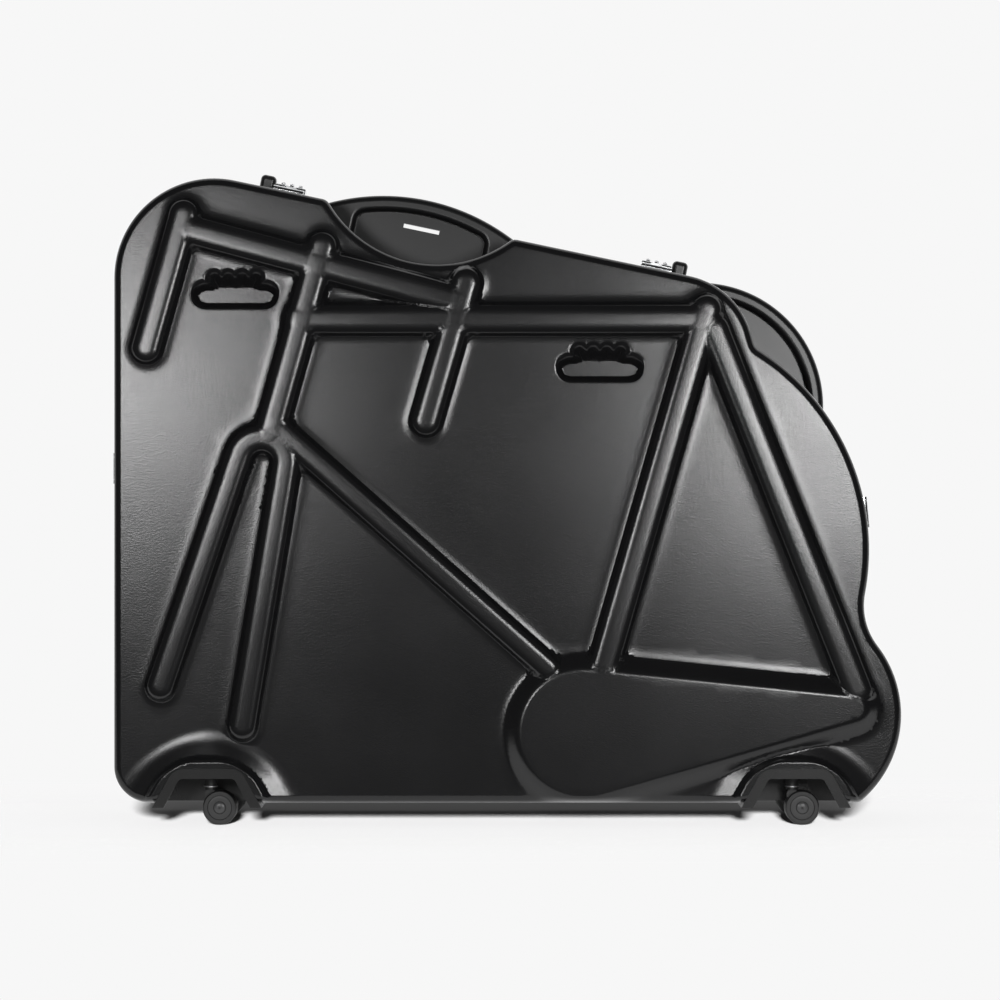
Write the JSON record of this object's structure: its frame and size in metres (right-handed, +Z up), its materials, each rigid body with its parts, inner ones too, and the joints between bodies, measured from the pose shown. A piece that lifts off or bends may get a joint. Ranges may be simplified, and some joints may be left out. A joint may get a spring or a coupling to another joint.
{
  "type": "bike travel case",
  "caption": "Hard black bicycle travel case: two hinged moulded half shells with raised bike-shaped ribs, carry handles, latches, dial locks and swivel casters.",
  "frame": {"origin": "on the floor under the middle of the case, between the casters", "axes": "+X along the case towards its narrow, rounded end, +Y from the lid to the rear half, +Z up"},
  "size_m": [1.1977, 0.37, 0.9952],
  "materials": {
    "shell": "matte",
    "handle": "satin",
    "rim_frame": "satin",
    "gasket": "matte",
    "liner": "matte",
    "webbing": "matte",
    "buckle": "satin",
    "housing": "satin",
    "caster_fork": "satin",
    "caster_wheel": "matte",
    "caster_mount": "satin",
    "steel": "satin",
    "hinge": "satin",
    "slider": "satin",
    "dial": "satin",
    "latch": "polished",
    "fastener": "satin"
  },
  "bodies": {
    "rear_half": {"rear_shell": "shell", "rear_rim_frame": "rim_frame", "rim_gasket": "gasket", "rear_liner": "liner", "hold_down_straps": "webbing", "strap_buckles": "buckle", "top_handle": "handle", "side_handle": "handle", "handle_screws": "fastener", "rear_left_wheel_housing": "housing", "rear_right_wheel_housing": "housing", "rear_left_caster_mount": "caster_mount", "rear_right_caster_mount": "caster_mount", "rear_hinge_leaves": "hinge", "hinge_pins": "steel", "rear_fasteners": "fastener", "top_left_lock_body": "latch", "top_right_lock_body": "latch", "left_latch_body": "latch", "right_latch_body": "latch"},
    "lid": {"front_shell": "shell", "front_rim_frame": "rim_frame", "front_liner": "liner", "front_left_wheel_housing": "housing", "front_right_wheel_housing": "housing", "front_left_caster_mount": "caster_mount", "front_right_caster_mount": "caster_mount", "front_hinge_leaves": "hinge", "front_fasteners": "fastener", "top_left_lock_bracket": "latch", "top_right_lock_bracket": "latch", "left_latch_bracket": "latch", "right_latch_bracket": "latch"},
    "top_left_lock_hasp": {"top_left_lock_hasp": "latch"},
    "top_left_lock_slider": {"top_left_lock_slider": "slider"},
    "top_left_lock_dial_1": {"top_left_lock_dial_1": "dial"},
    "top_left_lock_dial_2": {"top_left_lock_dial_2": "dial"},
    "top_left_lock_dial_3": {"top_left_lock_dial_3": "dial"},
    "top_right_lock_hasp": {"top_right_lock_hasp": "latch"},
    "top_right_lock_slider": {"top_right_lock_slider": "slider"},
    "top_right_lock_dial_1": {"top_right_lock_dial_1": "dial"},
    "top_right_lock_dial_2": {"top_right_lock_dial_2": "dial"},
    "top_right_lock_dial_3": {"top_right_lock_dial_3": "dial"},
    "left_latch_hasp": {"left_latch_hasp": "latch"},
    "left_latch_slider": {"left_latch_slider": "slider"},
    "right_latch_hasp": {"right_latch_hasp": "latch"},
    "right_latch_slider": {"right_latch_slider": "slider"},
    "front_left_caster": {"front_left_caster_fork": "caster_fork", "front_left_caster_kingpin": "steel"},
    "front_left_caster_wheels": {"front_left_caster_wheels": "caster_wheel"},
    "front_right_caster": {"front_right_caster_fork": "caster_fork", "front_right_caster_kingpin": "steel"},
    "front_right_caster_wheels": {"front_right_caster_wheels": "caster_wheel"},
    "rear_left_caster": {"rear_left_caster_fork": "caster_fork", "rear_left_caster_kingpin": "steel"},
    "rear_left_caster_wheels": {"rear_left_caster_wheels": "caster_wheel"},
    "rear_right_caster": {"rear_right_caster_fork": "caster_fork", "rear_right_caster_kingpin": "steel"},
    "rear_right_caster_wheels": {"rear_right_caster_wheels": "caster_wheel"}
  },
  "joints": [
    {"name": "lid_hinge", "type": "hinge", "parent": "rear_half", "child": "lid", "pos_m": [0, 0, 0.032], "axis": [1, 0, 0], "range_deg": [0, 95]},
    {"name": "top_left_lock_hasp_hinge", "type": "hinge", "parent": "lid", "child": "top_left_lock_hasp", "pos_m": [-0.33615, -0.034, 0.96598], "axis": [0.9787, 0, -0.2055], "range_deg": [0, 110]},
    {"name": "top_left_lock_slider_slide", "type": "slide", "parent": "rear_half", "child": "top_left_lock_slider", "axis": [-0.9787, 0, 0.2055], "range_m": [0, 0.006], "stiffness_N_per_m": 300, "springref_m": -0.004},
    {"name": "top_left_lock_dial_1_turn", "type": "hinge", "parent": "rear_half", "child": "top_left_lock_dial_1", "pos_m": [-0.34834, 0.031, 0.97364], "axis": [0.9787, 0, -0.2055], "continuous": true},
    {"name": "top_left_lock_dial_2_turn", "type": "hinge", "parent": "rear_half", "child": "top_left_lock_dial_2", "pos_m": [-0.33512, 0.031, 0.97087], "axis": [0.9787, 0, -0.2055], "continuous": true},
    {"name": "top_left_lock_dial_3_turn", "type": "hinge", "parent": "rear_half", "child": "top_left_lock_dial_3", "pos_m": [-0.32191, 0.031, 0.9681], "axis": [0.9787, 0, -0.2055], "continuous": true},
    {"name": "top_right_lock_hasp_hinge", "type": "hinge", "parent": "lid", "child": "top_right_lock_hasp", "pos_m": [0.22885, -0.034, 0.84732], "axis": [0.9787, 0, -0.2055], "range_deg": [0, 110]},
    {"name": "top_right_lock_slider_slide", "type": "slide", "parent": "rear_half", "child": "top_right_lock_slider", "axis": [0.9787, 0, -0.2055], "range_m": [0, 0.006], "stiffness_N_per_m": 300, "springref_m": -0.004},
    {"name": "top_right_lock_dial_1_turn", "type": "hinge", "parent": "rear_half", "child": "top_right_lock_dial_1", "pos_m": [0.24309, 0.031, 0.84944], "axis": [0.9787, 0, -0.2055], "continuous": true},
    {"name": "top_right_lock_dial_2_turn", "type": "hinge", "parent": "rear_half", "child": "top_right_lock_dial_2", "pos_m": [0.22988, 0.031, 0.85222], "axis": [0.9787, 0, -0.2055], "continuous": true},
    {"name": "top_right_lock_dial_3_turn", "type": "hinge", "parent": "rear_half", "child": "top_right_lock_dial_3", "pos_m": [0.21667, 0.031, 0.85499], "axis": [0.9787, 0, -0.2055], "continuous": true},
    {"name": "left_latch_hasp_hinge", "type": "hinge", "parent": "lid", "child": "left_latch_hasp", "pos_m": [-0.6, -0.034, 0.5405], "axis": [0, 0, 1], "range_deg": [0, 110]},
    {"name": "left_latch_slider_slide", "type": "slide", "parent": "rear_half", "child": "left_latch_slider", "axis": [0, 0, -1], "range_m": [0, 0.006], "stiffness_N_per_m": 300, "springref_m": -0.004},
    {"name": "right_latch_hasp_hinge", "type": "hinge", "parent": "lid", "child": "right_latch_hasp", "pos_m": [0.54912, -0.034, 0.47344], "axis": [0.0906, 0, -0.9959], "range_deg": [0, 110]},
    {"name": "right_latch_slider_slide", "type": "slide", "parent": "rear_half", "child": "right_latch_slider", "axis": [0.0906, 0, -0.9959], "range_m": [0, 0.006], "stiffness_N_per_m": 300, "springref_m": -0.004},
    {"name": "front_left_caster_swivel", "type": "hinge", "parent": "lid", "child": "front_left_caster", "pos_m": [-0.45, -0.1, 0.06], "axis": [0, 0, 1], "continuous": true},
    {"name": "front_left_caster_roll", "type": "hinge", "parent": "front_left_caster", "child": "front_left_caster_wheels", "pos_m": [-0.4356, -0.1, 0.026], "axis": [0, 1, 0], "continuous": true},
    {"name": "front_right_caster_swivel", "type": "hinge", "parent": "lid", "child": "front_right_caster", "pos_m": [0.432, -0.1, 0.06], "axis": [0, 0, 1], "continuous": true},
    {"name": "front_right_caster_roll", "type": "hinge", "parent": "front_right_caster", "child": "front_right_caster_wheels", "pos_m": [0.4464, -0.1, 0.026], "axis": [0, 1, 0], "continuous": true},
    {"name": "rear_left_caster_swivel", "type": "hinge", "parent": "rear_half", "child": "rear_left_caster", "pos_m": [-0.45, 0.1, 0.06], "axis": [0, 0, 1], "continuous": true},
    {"name": "rear_left_caster_roll", "type": "hinge", "parent": "rear_left_caster", "child": "rear_left_caster_wheels", "pos_m": [-0.4356, 0.1, 0.026], "axis": [0, 1, 0], "continuous": true},
    {"name": "rear_right_caster_swivel", "type": "hinge", "parent": "rear_half", "child": "rear_right_caster", "pos_m": [0.432, 0.1, 0.06], "axis": [0, 0, 1], "continuous": true},
    {"name": "rear_right_caster_roll", "type": "hinge", "parent": "rear_right_caster", "child": "rear_right_caster_wheels", "pos_m": [0.4464, 0.1, 0.026], "axis": [0, 1, 0], "continuous": true}
  ]
}
